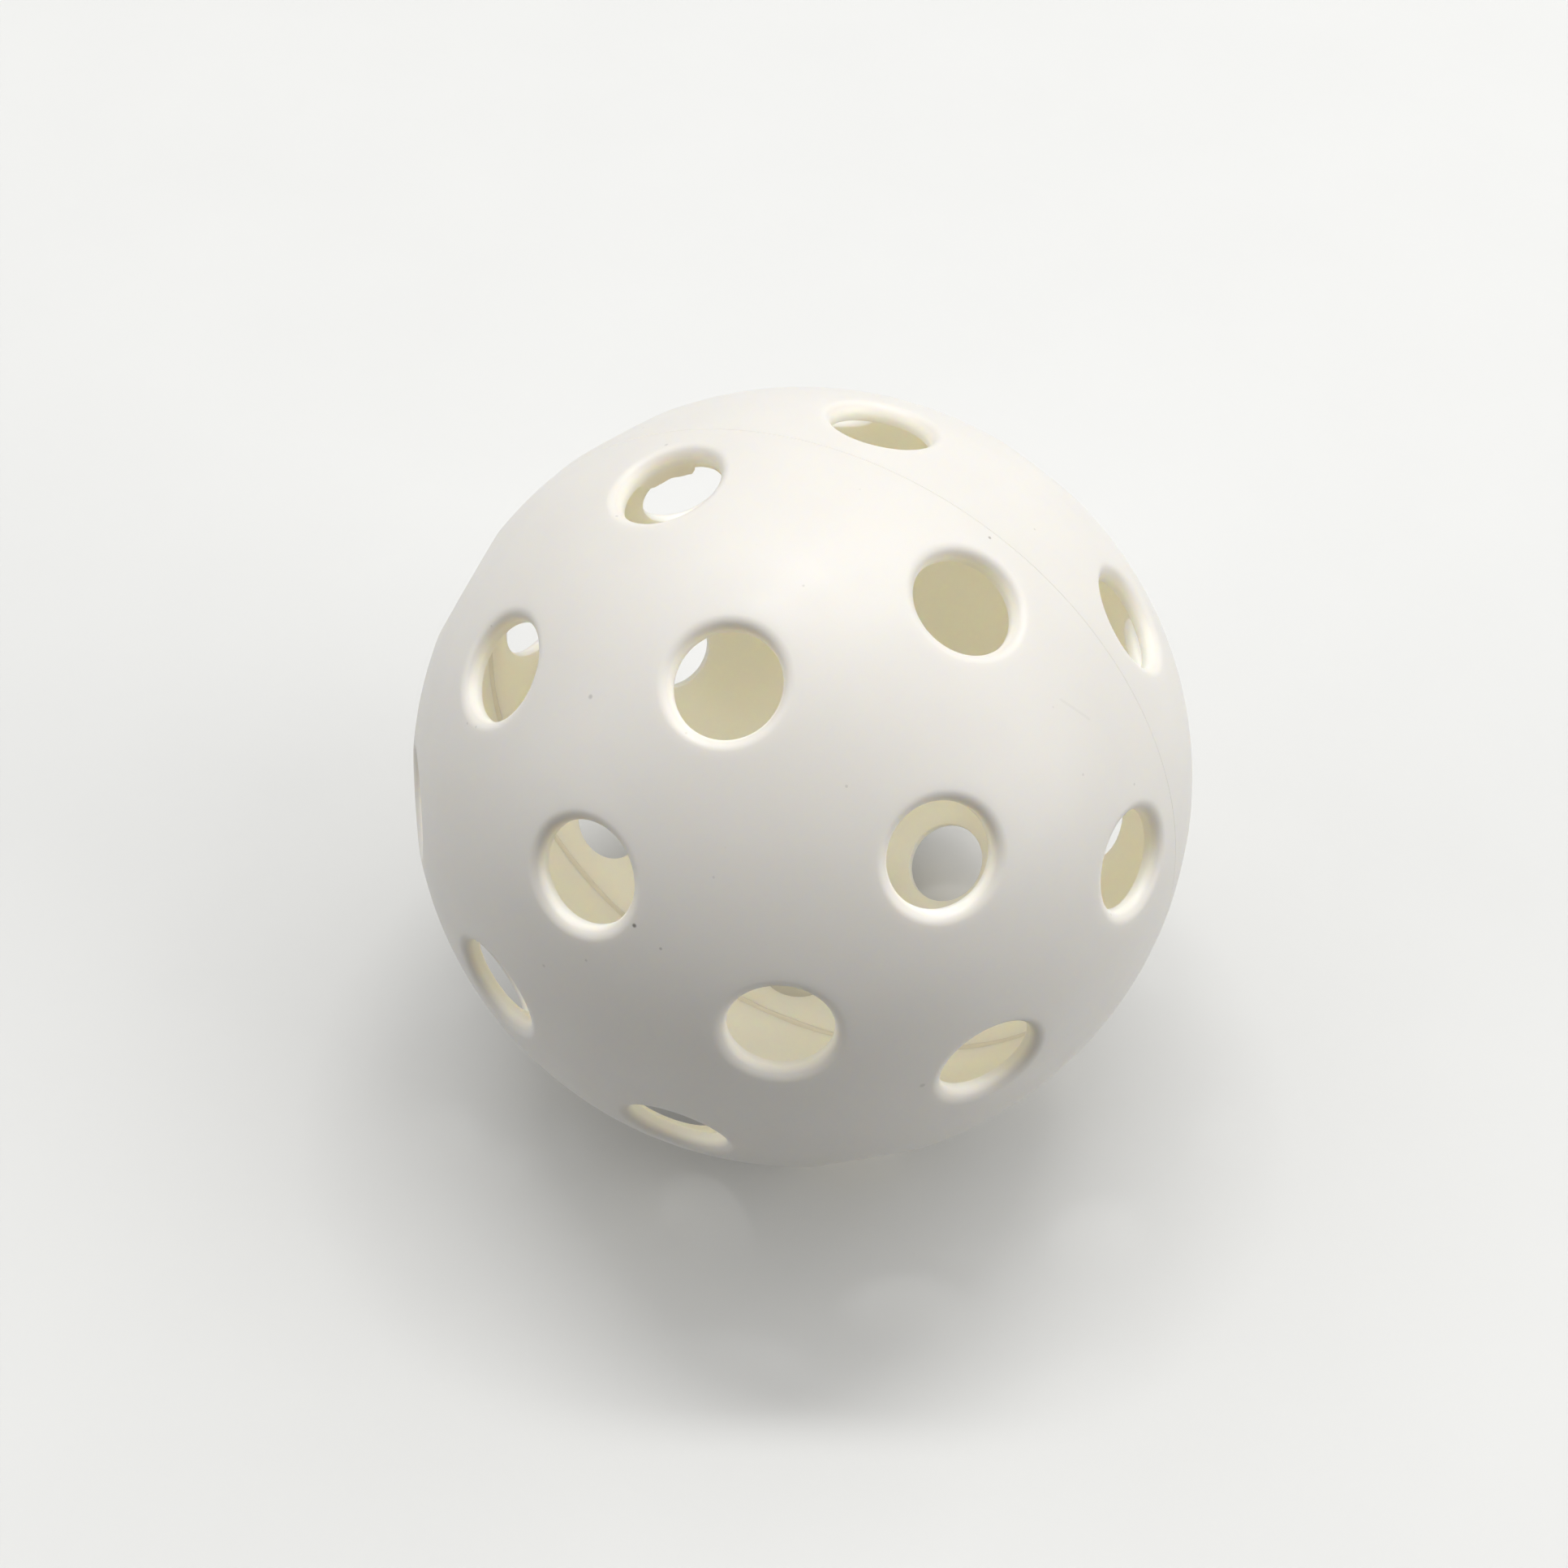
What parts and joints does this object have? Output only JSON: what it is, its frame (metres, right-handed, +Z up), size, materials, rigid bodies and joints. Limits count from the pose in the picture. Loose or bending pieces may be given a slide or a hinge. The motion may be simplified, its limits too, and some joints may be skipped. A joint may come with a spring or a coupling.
{
  "type": "pickleball",
  "caption": "Hollow ball of white moulded plastic with round, soft-rimmed holes all over, two half shells welded at the equator, for a paddle game.",
  "frame": {"origin": "centre of the ball", "axes": "+Z up, with the ball lying as it comes to rest, on the rim of the hole on its -Z axis; -Y towards the viewer of the picture, +X to the viewer's right"},
  "size_m": [0.074, 0.0738, 0.0734],
  "materials": {
    "front_shell": "satin moulded polyethylene, white",
    "rear_shell": "satin moulded polyethylene, white",
    "weld": "remelted polyethylene, slightly creamier than the shell"
  },
  "bodies": {
    "root": {"front_half_shell": "front_shell", "rear_half_shell": "rear_shell", "inner_weld_bead": "weld"}
  },
  "joints": []
}
